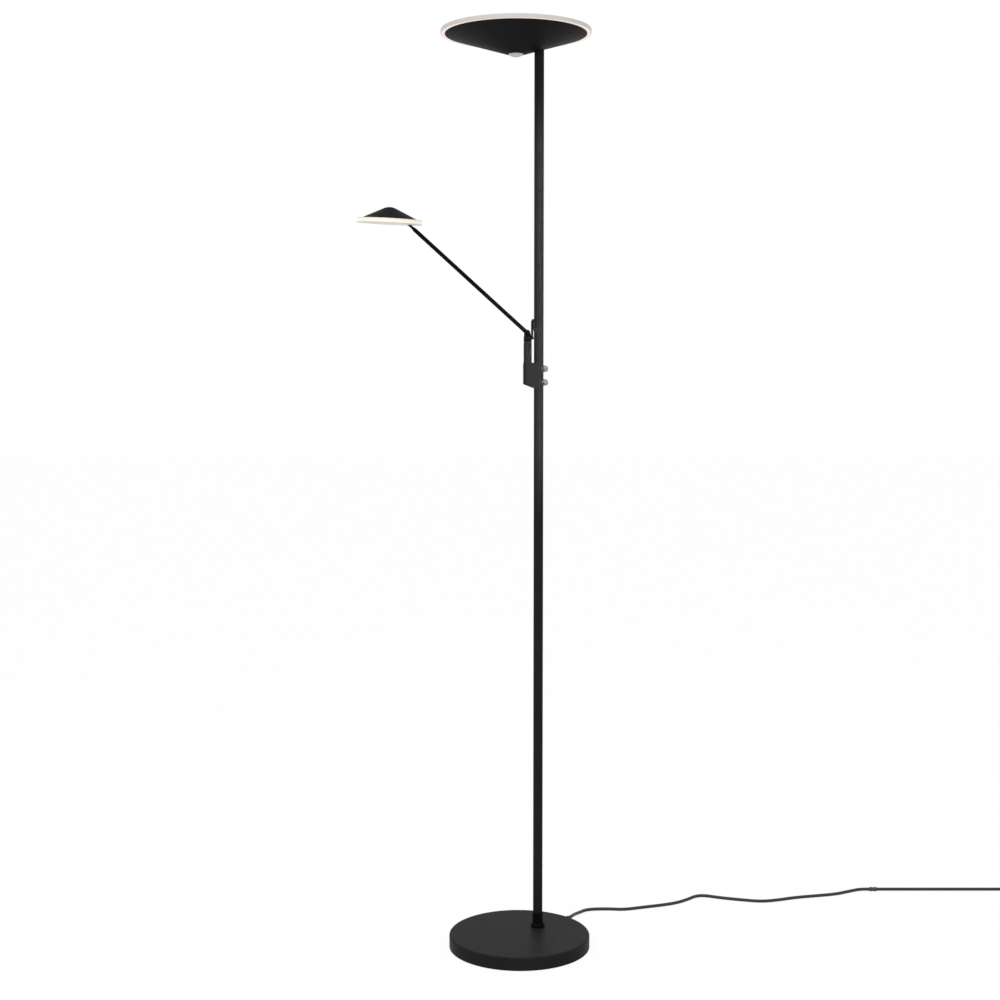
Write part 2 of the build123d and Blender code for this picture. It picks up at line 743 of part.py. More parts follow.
# Reading head, built about its own slightly leaning axis
lean = math.radians(head_lean)
lean_way = Vector(math.cos(lean), 0, -math.sin(lean))
head_right = (lean_way - pin_way * lean_way.dot(pin_way)).normalized()
head_up = head_right.cross(pin_way)
head_middle = arm_end - head_right * head_offset
head_axis = Axis(head_middle, head_up)
head_plane = Plane(origin=head_middle, x_dir=head_right, z_dir=head_up)
head_front = Plane(origin=head_middle, x_dir=head_right, z_dir=-pin_way)
head_top = 0.5 * head_thickness
shell_step = 12.6
shell_radius = head_radius - shell_step
shell_lip = 2.0
shell_apex = head_top + head_depth
apex_radius = 12.0
shell_slope = math.atan((head_depth - shell_lip) / (shell_radius - 0.5 * apex_radius))
apex_drop = apex_radius * math.tan(0.5 * shell_slope)
shell_inner_apex = shell_apex - shell_wall / math.cos(shell_slope)
shell_inner_lip = shell_lip - shell_wall * (1 - math.sin(shell_slope)) / math.cos(shell_slope)
dish_radius = shell_radius - 2.5
dish_floor = -head_top + 1.7
plate_gap = 0.3
head_plate_thickness = 1.2
plate_taper = (head_plate_thickness - shell_inner_lip) / math.tan(shell_slope)
head_plate_radius = shell_radius - shell_wall - plate_gap - plate_taper
head_board_radius = dish_radius - 3.5
pivot_slot_left = 6.5
pivot_slot_right = 14.0
ear_outer = tip_half + 2.0

with BuildPart() as head_shell:
    # The same outline twice: the outside, then the hollow one wall further in
    for rim, lip, apex, mode in (
        (shell_radius, shell_lip, shell_apex, Mode.ADD),
        (shell_radius - shell_wall, shell_inner_lip, shell_inner_apex, Mode.SUBTRACT),
    ):
        shoulder = (apex_radius, apex - apex_drop)
        with BuildSketch(head_front):
            with BuildLine():
                Polyline((0, apex), (0, head_top), (rim, head_top), (rim, head_top + lip), shoulder)
                TangentArc(shoulder, (0, apex), tangent=(-math.cos(shell_slope), math.sin(shell_slope)))
            make_face()
        revolve(axis=head_axis, mode=mode)
save(head_shell, "head_shell")

with BuildPart() as head_diffuser:
    with BuildSketch(head_plane.offset(-head_top)):
        Circle(head_radius)
    extrude(amount=head_thickness)
    fillet(head_diffuser.edges().filter_by(GeomType.CIRCLE), 1.2)
    with BuildSketch(head_plane.offset(dish_floor)):
        Circle(dish_radius)
    extrude(amount=head_thickness, mode=Mode.SUBTRACT)
    # Slot for the end of the arm
    with BuildSketch(head_plane.offset(-head_thickness)):
        with Locations((head_offset + 0.5 * (pivot_slot_right - pivot_slot_left), 0)):
            SlotOverall(pivot_slot_left + pivot_slot_right, 2 * (tip_half + 0.7))
    extrude(amount=2 * head_thickness, mode=Mode.SUBTRACT)
save(head_diffuser, "head_diffuser")

with BuildPart() as head_plate:
    with BuildSketch(head_plane.offset(head_top)):
        Circle(head_plate_radius)
    extrude(amount=head_plate_thickness)
    with BuildSketch(head_plane):
        Circle(1.5 + seat)
    extrude(amount=2 * head_thickness, mode=Mode.SUBTRACT)
save(head_plate, "head_plate")

with BuildPart() as head_led_board:
    with BuildSketch(head_plane.offset(head_top)):
        Circle(head_board_radius)
        with Locations((head_offset, 0)):
            Rectangle(2 * pivot_slot_left + 8.0, 2 * ear_outer + 4.0, mode=Mode.SUBTRACT)
        Circle(4.0, mode=Mode.SUBTRACT)
    extrude(amount=-board_thickness)
    with BuildSketch(head_plane.offset(head_top - board_thickness)):
        with PolarLocations(head_board_radius - 6.0, 16, start_angle=11.25):
            Rectangle(3.0, 3.0)
        with PolarLocations(0.35 * head_board_radius, 8, start_angle=22.5):
            Rectangle(3.0, 3.0)
    extrude(amount=-0.7)
save(head_led_board, "head_led_board")

with BuildPart() as head_bracket:
    with BuildSketch(head_plane.offset(head_top)):
        with Locations((head_offset, 0)):
            Rectangle(2 * pivot_slot_left + 6.0, 2 * ear_outer + 2.0)
            Rectangle(2 * pivot_slot_left, 2 * tip_half + 2 * loose, mode=Mode.SUBTRACT)
    extrude(amount=-board_thickness)
    for side in (1, -1):
        with BuildSketch(head_front.offset(side * (tip_half + loose))):
            with Locations((head_offset, 0)):
                Circle(tip_eye)
            with Locations((head_offset, 0.5 * (head_top - board_thickness))):
                Rectangle(2 * tip_eye, head_top - board_thickness)
        extrude(amount=side * (ear_outer - tip_half - loose))
    with BuildSketch(head_front):
        with Locations((head_offset, 0)):
            Circle(head_pin_radius + seat)
    extrude(amount=2 * ear_outer, both=True, mode=Mode.SUBTRACT)
    # The ears stop short of the dish
    with BuildSketch(head_plane.offset(dish_floor + loose)):
        with Locations((head_offset, 0)):
            Rectangle(4 * ear_outer, 4 * ear_outer)
    extrude(amount=-head_thickness, mode=Mode.SUBTRACT)
save(head_bracket, "head_bracket")

head_pin_plane = Plane(origin=arm_end, x_dir=head_right, z_dir=-pin_way)
head_pin = rod(head_pin_plane.offset(-ear_outer), head_pin_radius, 2 * ear_outer)
save(head_pin, "head_pin")

post_bottom = head_top + head_plate_thickness
post_top = shell_inner_apex - loose
head_post = ring(head_plane.offset(post_bottom), 3.0, 1.5 + seat, post_top - post_bottom)
save(head_post, "head_post")

with BuildPart() as head_screw:
    with BuildSketch(head_plane.offset(head_top)):
        Circle(2.9)
    extrude(amount=-1.8)
    with BuildSketch(head_plane.offset(head_top)):
        Circle(1.5)
    extrude(amount=12.0)
save(head_screw, "head_screw")

# Shade: cone, light engine, diffuser and the socket on the pole
rim_height = total_height - shade_thickness
tip_height = rim_height - cone_depth
cone_slope = cone_depth / (cone_rim_radius - cone_tip_radius)
cone_wall = 1.2
wall_across = cone_wall * math.sqrt(1 + cone_slope**2) / cone_slope
cone_mouth = cone_rim_radius - wall_across
lens_hole = cone_tip_radius - 2.2


def cone_inside(height):
    """Radius of the cone's inner face at a height."""
    return cone_mouth - (rim_height - height) / cone_slope


def cone_floor(radius):
    """Height of the cone's inner face at a radius."""
    return rim_height - (cone_mouth - radius) * cone_slope


tip_floor = tip_height + cone_wall
plate_top = rim_height - 6.0
plate_bottom = plate_top - 2.0
shade_way = Vector(math.cos(math.radians(shade_bearing)), math.sin(math.radians(shade_bearing)), 0)

with BuildPart() as shade_cone:
    with BuildSketch(upright(shade_x, shade_y)):
        with BuildLine():
            Polyline(
                (cone_rim_radius, rim_height),
                (cone_tip_radius, tip_height),
                (lens_hole, tip_height),
                (lens_hole, tip_floor),
                (cone_inside(tip_floor), tip_floor),
                (cone_mouth, rim_height),
                close=True,
            )
        make_face()
    revolve(axis=shade_axis)
    with BuildSketch(level(pole_x, pole_y, tip_height)):
        Circle(pole_radius + loose)
    extrude(amount=cone_depth, mode=Mode.SUBTRACT)
save(shade_cone, "shade_cone")

shade_plate = turned(
    upright(shade_x, shade_y),
    shade_axis,
    (0, plate_bottom),
    (cone_inside(plate_bottom) - 2 * seat, plate_bottom),
    (cone_inside(plate_top) - 2 * seat, plate_top),
    (0, plate_top),
)
save(shade_plate, "shade_plate")

shade_board_radius = cone_inside(plate_bottom) - 8.0

with BuildPart() as shade_led_board:
    with BuildSketch(level(shade_x, shade_y, plate_top)):
        Circle(shade_board_radius)
    extrude(amount=board_thickness)
    with BuildSketch(level(shade_x, shade_y, plate_top + board_thickness)):
        for ring_radius, count in ((0.88, 24), (0.62, 16), (0.36, 8)):
            with PolarLocations(ring_radius * shade_board_radius, count):
                Rectangle(3.5, 3.5)
    extrude(amount=0.8)
save(shade_led_board, "shade_led_board")

diffuser_face = 2.5
with BuildPart() as shade_diffuser:
    with BuildSketch(level(shade_x, shade_y, rim_height)):
        Circle(shade_radius)
    extrude(amount=shade_thickness)
    fillet(shade_diffuser.edges().filter_by(GeomType.CIRCLE), 1.5)
    with BuildSketch(level(shade_x, shade_y, rim_height)):
        Circle(cone_mouth - 1.5)
    extrude(amount=shade_thickness - diffuser_face, mode=Mode.SUBTRACT)
save(shade_diffuser, "shade_diffuser")

socket_wall = 2.0
socket_radius = pole_radius + socket_wall
socket_flange = socket_radius + 8.0
socket_flange_thickness = 3.0
socket_bottom = cone_floor(pole_offset + socket_radius) + 1.0
socket_screw_circle = socket_radius + 4.0

with BuildPart() as shade_socket:
    with BuildSketch(level(pole_x, pole_y, plate_bottom)):
        Circle(socket_flange)
    extrude(amount=-socket_flange_thickness)
    with BuildSketch(level(pole_x, pole_y, plate_bottom)):
        Circle(socket_radius)
    extrude(amount=-(plate_bottom - socket_bottom))
    with BuildSketch(level(pole_x, pole_y, plate_bottom)):
        Circle(pole_radius + seat)
        with PolarLocations(socket_screw_circle, 3, start_angle=shade_bearing + 60):
            Circle(1.5 + seat)
    extrude(amount=-(plate_bottom - socket_bottom), mode=Mode.SUBTRACT)
save(shade_socket, "shade_socket")

with BuildPart() as socket_screws:
    with BuildSketch(level(pole_x, pole_y, plate_bottom - socket_flange_thickness)):
        with PolarLocations(socket_screw_circle, 3, start_angle=shade_bearing + 60):
            Circle(2.8)
    extrude(amount=-2.0)
    with BuildSketch(level(pole_x, pole_y, plate_bottom - socket_flange_thickness)):
        with PolarLocations(socket_screw_circle, 3, start_angle=shade_bearing + 60):
            Circle(1.5)
    extrude(amount=socket_flange_thickness)
save(socket_screws, "socket_screws")

driver_length = 66.0
driver_width = 40.0
driver_centre = pole_offset - socket_flange - 0.5 * driver_length - 4.0
driver_reach = math.hypot(0.5 * driver_length - driver_centre, 0.5 * driver_width)
driver_height = plate_bottom - cone_floor(driver_reach) - 1.5
driver_place = Vector(shade_x, shade_y, plate_bottom) - shade_way * driver_centre
driver_plane = Plane(origin=driver_place, x_dir=shade_way, z_dir=(0, 0, 1))
with BuildPart() as led_driver:
    with BuildSketch(driver_plane):
        RectangleRounded(driver_length, driver_width, 3.0)
    extrude(amount=-driver_height)
    fillet(led_driver.edges().group_by(Axis.Z)[0], 1.5)
save(led_driver, "led_driver")

lens_flange = cone_inside(tip_floor) - 0.6
lens_drop = 5.5
with BuildPart() as shade_lens:
    with BuildSketch(upright(shade_x, shade_y)):
        with BuildLine():
            Polyline(
                (0, tip_height - lens_drop),
                (0, tip_floor + 2.0),
                (lens_flange, tip_floor + 2.0),
                (lens_flange, tip_floor),
                (lens_hole - 0.2, tip_floor),
                (lens_hole - 0.2, tip_height),
            )
            TangentArc((0, tip_height - lens_drop), (lens_hole - 0.2, tip_height), tangent=(1, 0))
        make_face()
    revolve(axis=shade_axis)
save(shade_lens, "shade_lens")

# Upper pole, with the hole for the arm lead
lead_bearing = 228.0
lead_way = Vector(math.cos(math.radians(lead_bearing)), math.sin(math.radians(lead_bearing)), 0)
lead_hole_rise = 24.0
lead_hole_height = leg_top + lead_hole_rise
lead_hole_plane = Plane(origin=(pole_x, pole_y, lead_hole_height), z_dir=lead_way)
grommet_neck = lead_radius + 1.0
grommet_flange = lead_radius + 2.2

with BuildPart() as pole_upper:
    with BuildSketch(level(pole_x, pole_y, housing_top)):
        Circle(pole_radius)
        Circle(pole_bore, mode=Mode.SUBTRACT)
    extrude(amount=plate_bottom - loose - housing_top)
    with BuildSketch(lead_hole_plane):
        Circle(grommet_neck + 0.1)
    extrude(amount=2 * pole_radius, mode=Mode.SUBTRACT)
save(pole_upper, "pole_upper")

with BuildPart() as lead_grommet:
    with BuildSketch(lead_hole_plane.offset(pole_bore - 1.0)):
        Circle(grommet_neck)
    extrude(amount=pole_wall + 1.5)
    with BuildSketch(lead_hole_plane.offset(pole_radius + loose)):
        Circle(grommet_flange)
    extrude(amount=1.6)
    fillet(lead_grommet.edges().filter_by(GeomType.CIRCLE).sort_by(SortBy.RADIUS)[-2:], 0.5)
    with BuildSketch(lead_hole_plane):
        Circle(lead_radius + seat)
    extrude(amount=2 * pole_radius, mode=Mode.SUBTRACT)
save(lead_grommet, "lead_grommet")

# Arm lead: up from the knuckle, over, and down into the pole
lead_stand = pole_radius + 4.5
lead_rise = 43.5
lead_top = leg_top + lead_rise
lead_left = Vector(pole_x + boss_x, pole_y, 0)
lead_right = Vector(pole_x, pole_y, 0) + lead_way * lead_stand
lead_inner = Vector(pole_x, pole_y, 0) + lead_way * (pole_bore - 0.8)
lead_span = (lead_right - lead_left).length
lead_bend = 0.49 * lead_span
lead_turn_in = lead_stand - pole_radius - 1.8
with BuildPart() as arm_lead:
    with BuildLine() as lead_path:
        FilletPolyline(
            lead_left + Vector(0, 0, boss_top - lead_seat_depth),
            lead_left + Vector(0, 0, lead_top),
            lead_right + Vector(0, 0, lead_top),
            lead_right + Vector(0, 0, lead_hole_height),
            lead_inner + Vector(0, 0, lead_hole_height),
            radius=[lead_bend, lead_bend, lead_turn_in],
        )
    with BuildSketch(Plane(origin=lead_path.line @ 0, z_dir=lead_path.line % 0)):
        Circle(lead_radius)
    sweep()
save(arm_lead, "arm_lead")

# Leads inside the base and the pole
wire_radius = 0.46 * wire_bore
wire_shift = wire_bore - wire_radius - loose
with BuildPart() as inner_leads:
    with BuildSketch(base_lead_plane):
        Circle(cord_radius)
    extrude(amount=base_lead_length)
    with BuildSketch(level(pole_x + wire_shift, pole_y, weight_top + 1.0)):
        Circle(wire_radius)
    extrude(amount=chamber_bottom - weight_top - 1.0)
    with BuildSketch(level(pole_x + wire_shift, pole_y, chamber_top)):
        Circle(wire_radius)
    extrude(amount=plate_bottom - 2.0 - chamber_top)
save(inner_leads, "inner_leads")

# Cord boot, moulded on the cord where it leaves the base
boot_length = 20.0
boot_profile = Plane(origin=(0, 0, exit_height), x_dir=exit_way, z_dir=(0, 0, 1))
boot_outer = base_radius + 0.4
boot_end = base_radius + boot_length
boot_tip_radius = cord_radius + 1.0
boot_root_radius = cord_radius + 2.2
boot_grooves = 4
boot_groove_pitch = 3.6
boot_groove_width = 1.2
with BuildPart() as cord_boot:
    with BuildSketch(boot_profile):
        with BuildLine():
            Polyline(
                (boot_inner, 0),
                (boot_inner, boot_flange),
                (base_radius - cover_wall - 0.6, boot_flange),
                (base_radius - cover_wall - 0.6, boot_neck),
                (boot_outer, boot_neck),
                (boot_outer, boot_flange),
                (boot_outer + 2.0, boot_flange),
                (boot_outer + 2.0, boot_root_radius),
                (boot_end, boot_tip_radius),
                (boot_end, 0),
                close=True,
            )
        make_face()
    revolve(axis=Axis((0, 0, exit_height), exit_way))
    for step in range(boot_grooves):
        with BuildSketch(exit_plane.offset(boot_outer + boot_groove_pitch * (step + 1.2))):
            Circle(boot_flange)
            Circle(cord_radius + 0.5, mode=Mode.SUBTRACT)
        extrude(amount=boot_groove_width, mode=Mode.SUBTRACT)
save(cord_boot, "cord_boot")

# Cord on the floor, from the boot to a small ferrule
floor_height = cord_radius + 0.1
ferrule_radius = cord_radius + 1.3
ferrule_length = 16.0
tie_thickness = 1.0
tie_gap = 0.4
coil_height = cord_radius + tie_thickness + tie_gap
ferrule_y = 340.0
ferrule_x = 779.0
first_run = 12.0
cord_start = Vector(0, 0, exit_height) + exit_way * boot_end
cord_first = cord_start + exit_way * first_run
cord_route = [
    tuple(cord_start),
    tuple(cord_first),
    (115.5, 151.5, floor_height + 8.5),
    (127.0, 176.0, floor_height + 4.0),
    (147.0, 210.0, floor_height),
    (190.0, 213.0, floor_height),
    (226.0, 208.0, floor_height),
    (264.0, 222.0, floor_height),
    (304.0, 235.0, floor_height),
    (338.0, 249.0, floor_height),
    (366.0, 271.0, floor_height),
    (397.0, 306.0, floor_height),
    (441.0, 285.5, floor_height),
    (482.0, 272.5, floor_height),
    (527.0, 260.5, floor_height),
    (565.0, 270.5, floor_height),
    (604.0, 287.0, floor_height),
    (652.0, 298.5, floor_height),
    (697.0, 309.5, floor_height),
    (729.0, 326.5, floor_height + 0.4),
    (757.0, ferrule_y, coil_height),
    (ferrule_x, ferrule_y, coil_height),
]


def route_radii(points):
    """The largest arc that the two runs at each corner allow."""
    radii = []
    for before, corner, after in zip(points, points[1:], points[2:]):
        run_in = Vector(*corner) - Vector(*before)
        run_out = Vector(*after) - Vector(*corner)
        half_turn = math.radians(0.5 * run_in.get_angle(run_out))
        radii.append(0.45 * min(run_in.length, run_out.length) / math.tan(half_turn))
    return radii


def path_length(path):
    """Length of a line, piece by piece."""
    return sum(edge.length for edge in path.edges())


cord_radii = route_radii(cord_route)
print("cord bend radii", [round(radius, 1) for radius in cord_radii])
with BuildPart() as power_cord:
    with BuildLine() as cord_path:
        FilletPolyline(*cord_route, radius=cord_radii)
    with BuildSketch(Plane(origin=cord_path.line @ 0, z_dir=cord_path.line % 0)):
        Circle(cord_radius)
    sweep()
cord_run = path_length(cord_path.line)
cord_section = math.pi * cord_radius**2
cord_ratio = power_cord.part.volume / (cord_run * cord_section)
print("cord run", round(cord_run, 1), "volume ratio", round(cord_ratio, 4))
save(power_cord, "power_cord")

along_x = Plane(origin=(ferrule_x, ferrule_y, coil_height), x_dir=(0, 1, 0), z_dir=(1, 0, 0))
with BuildPart() as cord_ferrule:
    with BuildSketch(along_x):
        Circle(ferrule_radius)
    extrude(amount=ferrule_length)
    fillet(cord_ferrule.edges().filter_by(GeomType.CIRCLE), 0.8)
    # A shallow waist
    with BuildSketch(along_x.offset(0.35 * ferrule_length)):
        Circle(2 * ferrule_radius)
        Circle(ferrule_radius - 0.5, mode=Mode.SUBTRACT)
    extrude(amount=0.3 * ferrule_length, mode=Mode.SUBTRACT)
save(cord_ferrule, "cord_ferrule")

# Spare cord in a coil of two layers, just past the straight stretch
coil_pitch = 2 * cord_radius + 0.9
coil_layer = 2 * cord_radius + 0.6
coil_quarters = 13
quarter = 1 / 4
coil_turns = coil_quarters * quarter
coil_middle = 0.5 * coil_turns
coil_least = 9.3 * cord_radius
coil_x = 1130.0
coil_end_run = 16.0
coil_lead_in = 2.2 * cord_radius


def coil_radius(turn):
    """Radius of the coil: steadily in, round in half a turn, and steadily out."""
    away = abs(turn - coil_middle)
    if away < quarter:
        return coil_least + coil_pitch * away**2 / (2 * quarter)
    return coil_least + coil_pitch * (away - 0.5 * quarter)


def coil_climb(turn):
    """Height of the coil: one layer up in the half turn where it reverses."""
    share = min(1.0, max(0.0, (turn - coil_middle + quarter) / (2 * quarter)))
    return coil_height + coil_layer * 0.5 * (1 - math.cos(math.pi * share))


coil_y = ferrule_y - coil_radius(0)


def coil_point(turn):
    """A point of the coil, clockwise from its back."""
    angle = math.radians(90 - 360 * turn)
    radius = coil_radius(turn)
    return Vector(coil_x + radius * math.cos(angle), coil_y + radius * math.sin(angle), coil_climb(turn))


def coil_tangent(turn):
    """Direction of the coil, square to what its two ends meet."""
    if turn < 0.01:
        return Vector(1, 0, 0)
    if turn > coil_turns - 0.01:
        return Vector(0, -1, 0)
    return (coil_point(turn + 0.001) - coil_point(turn - 0.001)).normalized()


def biarc(start, start_way, end, end_way):
    """Three middle points of the two arcs that join two points along their directions."""
    chord = end - start
    ways = start_way + end_way
    lead = 2 * (1 - start_way.dot(end_way))
    cross = chord.dot(ways)
    reach = (-cross + math.sqrt(cross**2 + lead * chord.dot(chord))) / lead
    joint = (start + end + (start_way - end_way) * reach) * 0.5
    corners = (start + start_way * reach, end - end_way * reach)
    middles = []
    for first, last, corner in ((start, joint, corners[0]), (joint, end, corners[1])):
        foot = (first + last) * 0.5
        half = (last - first).length * 0.5
        side = (corner - foot).length
        slant = math.sqrt(side**2 + half**2)
        middles.append(foot + (corner - foot).normalized() * (half * side / (half + slant)))
    return middles[0], joint, middles[1]


coil_stations = [quarter * index for index in range(coil_quarters + 1)]
with BuildPart() as cord_coil:
    with BuildLine() as coil_path:
        Line(coil_point(0) - Vector(coil_lead_in, 0, 0), coil_point(0))
        for first, last in zip(coil_stations, coil_stations[1:]):
            ends = (coil_point(first), coil_point(last))
            early, joint, late = biarc(ends[0], coil_tangent(first), ends[1], coil_tangent(last))
            ThreePointArc(ends[0], early, joint)
            ThreePointArc(joint, late, ends[1])
        Line(coil_point(coil_turns), coil_point(coil_turns) - Vector(0, coil_end_run, 0))
    with BuildSketch(Plane(origin=coil_path.line @ 0, z_dir=coil_path.line % 0)):
        Circle(cord_radius)
    sweep()
coil_run = path_length(coil_path.line)
coil_ratio = cord_coil.part.volume / (coil_run * cord_section)
print("coil run", round(coil_run, 1), "volume ratio", round(coil_ratio, 4))
save(cord_coil, "cord_coil")

samples_per_turn = 72
sample_count = coil_quarters * samples_per_turn // 4 + 1
coil_samples = [coil_point(index / samples_per_turn) for index in range(sample_count)]
least_gap = min(
    (first - last).length - 2 * cord_radius
    for index, first in enumerate(coil_samples)
    for last in coil_samples[index + samples_per_turn // 3:]
)
print("coil least gap", round(least_gap, 2))

tail_length = coil_x - coil_lead_in - ferrule_x - ferrule_length
cord_tail = rod(along_x.offset(ferrule_length), cord_radius, tail_length)
save(cord_tail, "cord_tail")
print("cord length", round(cord_run + ferrule_length + tail_length + coil_run, 0))

# Tie round the turns on the left of the coil
tie_radii = [coil_radius(turn) for turn in (0.75, 1.75, 2.75)]
tie_inner = min(tie_radii) - cord_radius - tie_gap
tie_outer = max(tie_radii) + cord_radius + tie_gap
tie_width = 9.0
tie_middle = 0.5 * (tie_inner + tie_outer)
tie_tall = coil_layer + 2 * cord_radius + 2 * tie_gap
tie_place = (coil_x - tie_middle, coil_y, coil_height + 0.5 * coil_layer)
tie_plane = Plane(origin=tie_place, x_dir=(1, 0, 0), z_dir=(0, -1, 0))
with BuildPart() as cord_tie:
    with BuildSketch(tie_plane):
        RectangleRounded(tie_outer - tie_inner + 2 * tie_thickness, tie_tall + 2 * tie_thickness, cord_radius)
        RectangleRounded(tie_outer - tie_inner, tie_tall, cord_radius - tie_thickness, mode=Mode.SUBTRACT)
    extrude(amount=0.5 * tie_width, both=True)
save(cord_tie, "cord_tie")

# Plug at the end of the coil, lying on the floor and pointing forward
plug_height = coil_climb(coil_turns)
plug_length = 36.0
plug_half_width = 18.0
plug_relief = 26.0
pin_radius = 2.4
pin_length = 19.0
pin_gap = 19.0
plug_start = coil_point(coil_turns) - Vector(0, coil_end_run, 0)
plug_plan = Plane(origin=plug_start, x_dir=(1, 0, 0), z_dir=(0, 0, 1))
plug_back = Plane(origin=plug_start, x_dir=(1, 0, 0), z_dir=(0, -1, 0))
plug_face = plug_back.offset(plug_relief + plug_length)
pin_seat = 8.0
with BuildPart() as plug_body:
    with BuildSketch(plug_plan.offset(-plug_height)):
        with BuildLine():
            Polyline(
                (-0.6 * plug_half_width, -plug_relief),
                (-plug_half_width, -plug_relief - 0.35 * plug_length),
                (-0.9 * plug_half_width, -plug_relief - plug_length),
                (0.9 * plug_half_width, -plug_relief - plug_length),
                (plug_half_width, -plug_relief - 0.35 * plug_length),
                (0.6 * plug_half_width, -plug_relief),
                close=True,
            )
        make_face()
    extrude(amount=2 * plug_height)
    fillet(plug_body.edges().filter_by(Axis.Z), 4.0)
    fillet(plug_body.edges().group_by(Axis.Z)[0] + plug_body.edges().group_by(Axis.Z)[-1], 2.0)
    with BuildSketch(plug_back):
        Circle(cord_radius + 1.0)
    with BuildSketch(plug_back.offset(plug_relief)):
        Circle(cord_radius + 3.2)
    loft()
    with BuildSketch(plug_face):
        with Locations((-0.5 * pin_gap, 0), (0.5 * pin_gap, 0)):
            Circle(pin_radius + seat)
    extrude(amount=-pin_seat, mode=Mode.SUBTRACT)
save(plug_body, "plug_body")

with BuildPart() as plug_pins:
    with BuildSketch(plug_face.offset(-pin_seat)):
        with Locations((-0.5 * pin_gap, 0), (0.5 * pin_gap, 0)):
            Circle(pin_radius)
    extrude(amount=pin_length + pin_seat)
    fillet(plug_pins.edges().group_by(Axis.Y)[0], 1.2)
save(plug_pins, "plug_pins")
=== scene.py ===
"""Looks of the reading floor lamp: its finishes, its cords, a pale studio and the camera.

Metres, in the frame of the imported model.
"""
import json
import math

import bpy
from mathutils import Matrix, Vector


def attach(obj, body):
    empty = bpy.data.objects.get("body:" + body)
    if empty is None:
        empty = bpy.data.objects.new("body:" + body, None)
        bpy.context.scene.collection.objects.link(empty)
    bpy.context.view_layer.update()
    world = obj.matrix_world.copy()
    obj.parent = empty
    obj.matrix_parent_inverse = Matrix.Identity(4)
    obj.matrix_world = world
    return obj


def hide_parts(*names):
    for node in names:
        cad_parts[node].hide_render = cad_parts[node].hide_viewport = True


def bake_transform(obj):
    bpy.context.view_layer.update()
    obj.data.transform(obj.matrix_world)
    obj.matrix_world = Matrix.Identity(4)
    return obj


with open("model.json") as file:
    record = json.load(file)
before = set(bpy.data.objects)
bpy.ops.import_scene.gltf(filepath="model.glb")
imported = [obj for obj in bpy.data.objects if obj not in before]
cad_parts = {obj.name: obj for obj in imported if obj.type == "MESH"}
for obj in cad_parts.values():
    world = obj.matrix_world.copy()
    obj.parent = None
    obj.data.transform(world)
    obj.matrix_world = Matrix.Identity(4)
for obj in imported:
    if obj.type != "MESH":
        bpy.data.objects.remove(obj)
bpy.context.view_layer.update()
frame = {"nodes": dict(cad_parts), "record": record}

nodes = frame["nodes"]
scene = bpy.context.scene
scene.view_settings.view_transform = "Standard"

MM = 0.001

# Sizes and places shared with the solids; the head's disc is rolled and leans a little
POLE_X = 53 * MM * math.cos(math.radians(45))
POLE_Y = POLE_X
SHADE_CENTRE = (-7.953 * MM, 10.18 * MM, 1796 * MM)
SHADE_RADIUS = 145 * MM
LENS_CENTRE = (-7.953 * MM, 10.18 * MM, 1754 * MM)
HEAD_CENTRE = (-254.874 * MM, 39.048 * MM, 1438.765 * MM)
HEAD_HALF = 4.75 * MM
HEAD_UP = (0.04877, -0.05792, 0.99713)
UPPER_KNOB_Z = 1151.4 * MM
LOWER_KNOB_Z = 1124.6 * MM

# Cord, repeated from the solids; its points on the floor are in millimetres
CORD_RADIUS = 3.4 * MM
EXIT_Z = 15 * MM
EXIT_BEARING = math.radians(50)
BOOT_END = 160 * MM
FIRST_RUN = 12 * MM
FLOOR_POINTS = [
    (115.5, 151.5, 12.0),
    (127.0, 176.0, 7.5),
    (147.0, 210.0, 3.5),
    (190.0, 213.0, 3.5),
    (226.0, 208.0, 3.5),
    (264.0, 222.0, 3.5),
    (304.0, 235.0, 3.5),
    (338.0, 249.0, 3.5),
    (366.0, 271.0, 3.5),
    (397.0, 306.0, 3.5),
    (441.0, 285.5, 3.5),
    (482.0, 272.5, 3.5),
    (527.0, 260.5, 3.5),
    (565.0, 270.5, 3.5),
    (604.0, 287.0, 3.5),
    (652.0, 298.5, 3.5),
    (697.0, 309.5, 3.5),
    (729.0, 326.5, 3.9),
    (757.0, 340.0, 4.8),
    (779.0, 340.0, 4.8),
]

# Coil of the spare cord: in to its least radius, up one layer and out again
FERRULE_Y = 340 * MM
COIL_X = 1130 * MM
COIL_Z = 4.8 * MM
COIL_PITCH = 7.7 * MM
COIL_LAYER = 7.4 * MM
COIL_LEAST = 31.62 * MM
COIL_TURNS = 3.25
COIL_MIDDLE = 0.5 * COIL_TURNS
REVERSE_HALF = 0.25
COIL_LEAD_IN = 7.48 * MM
COIL_END_RUN = 16 * MM
POINTS_PER_TURN = 24

# Arm lead: from the knuckle over into the pole, in millimetres
LEAD_RADIUS = 2.2 * MM
LEAD_ROUTE = [
    (24.427, 37.477, 1210.2),
    (24.427, 37.477, 1235.5),
    (24.427, 37.477, 1246.5),
    (28.109, 27.073, 1246.5),
    (28.109, 27.073, 1234.5),
    (28.109, 27.073, 1227.0),
    (32.324, 31.754, 1227.0),
]

# Smoothness of the splines
STEPS_ALONG = 8
STEPS_AROUND = 6

# Noise: the range in which most of its values lie, and how much finer roughness varies than colour
NOISE_LOW = 0.3
NOISE_HIGH = 0.7
ROUGHNESS_FINER = 5

# Relief: radius of the softened edges, and how finely it is sampled
PAINT_EDGE = 0.3 * MM
OPAL_EDGE = 0.4 * MM
METAL_EDGE = 0.2 * MM
EDGE_SAMPLES = 4

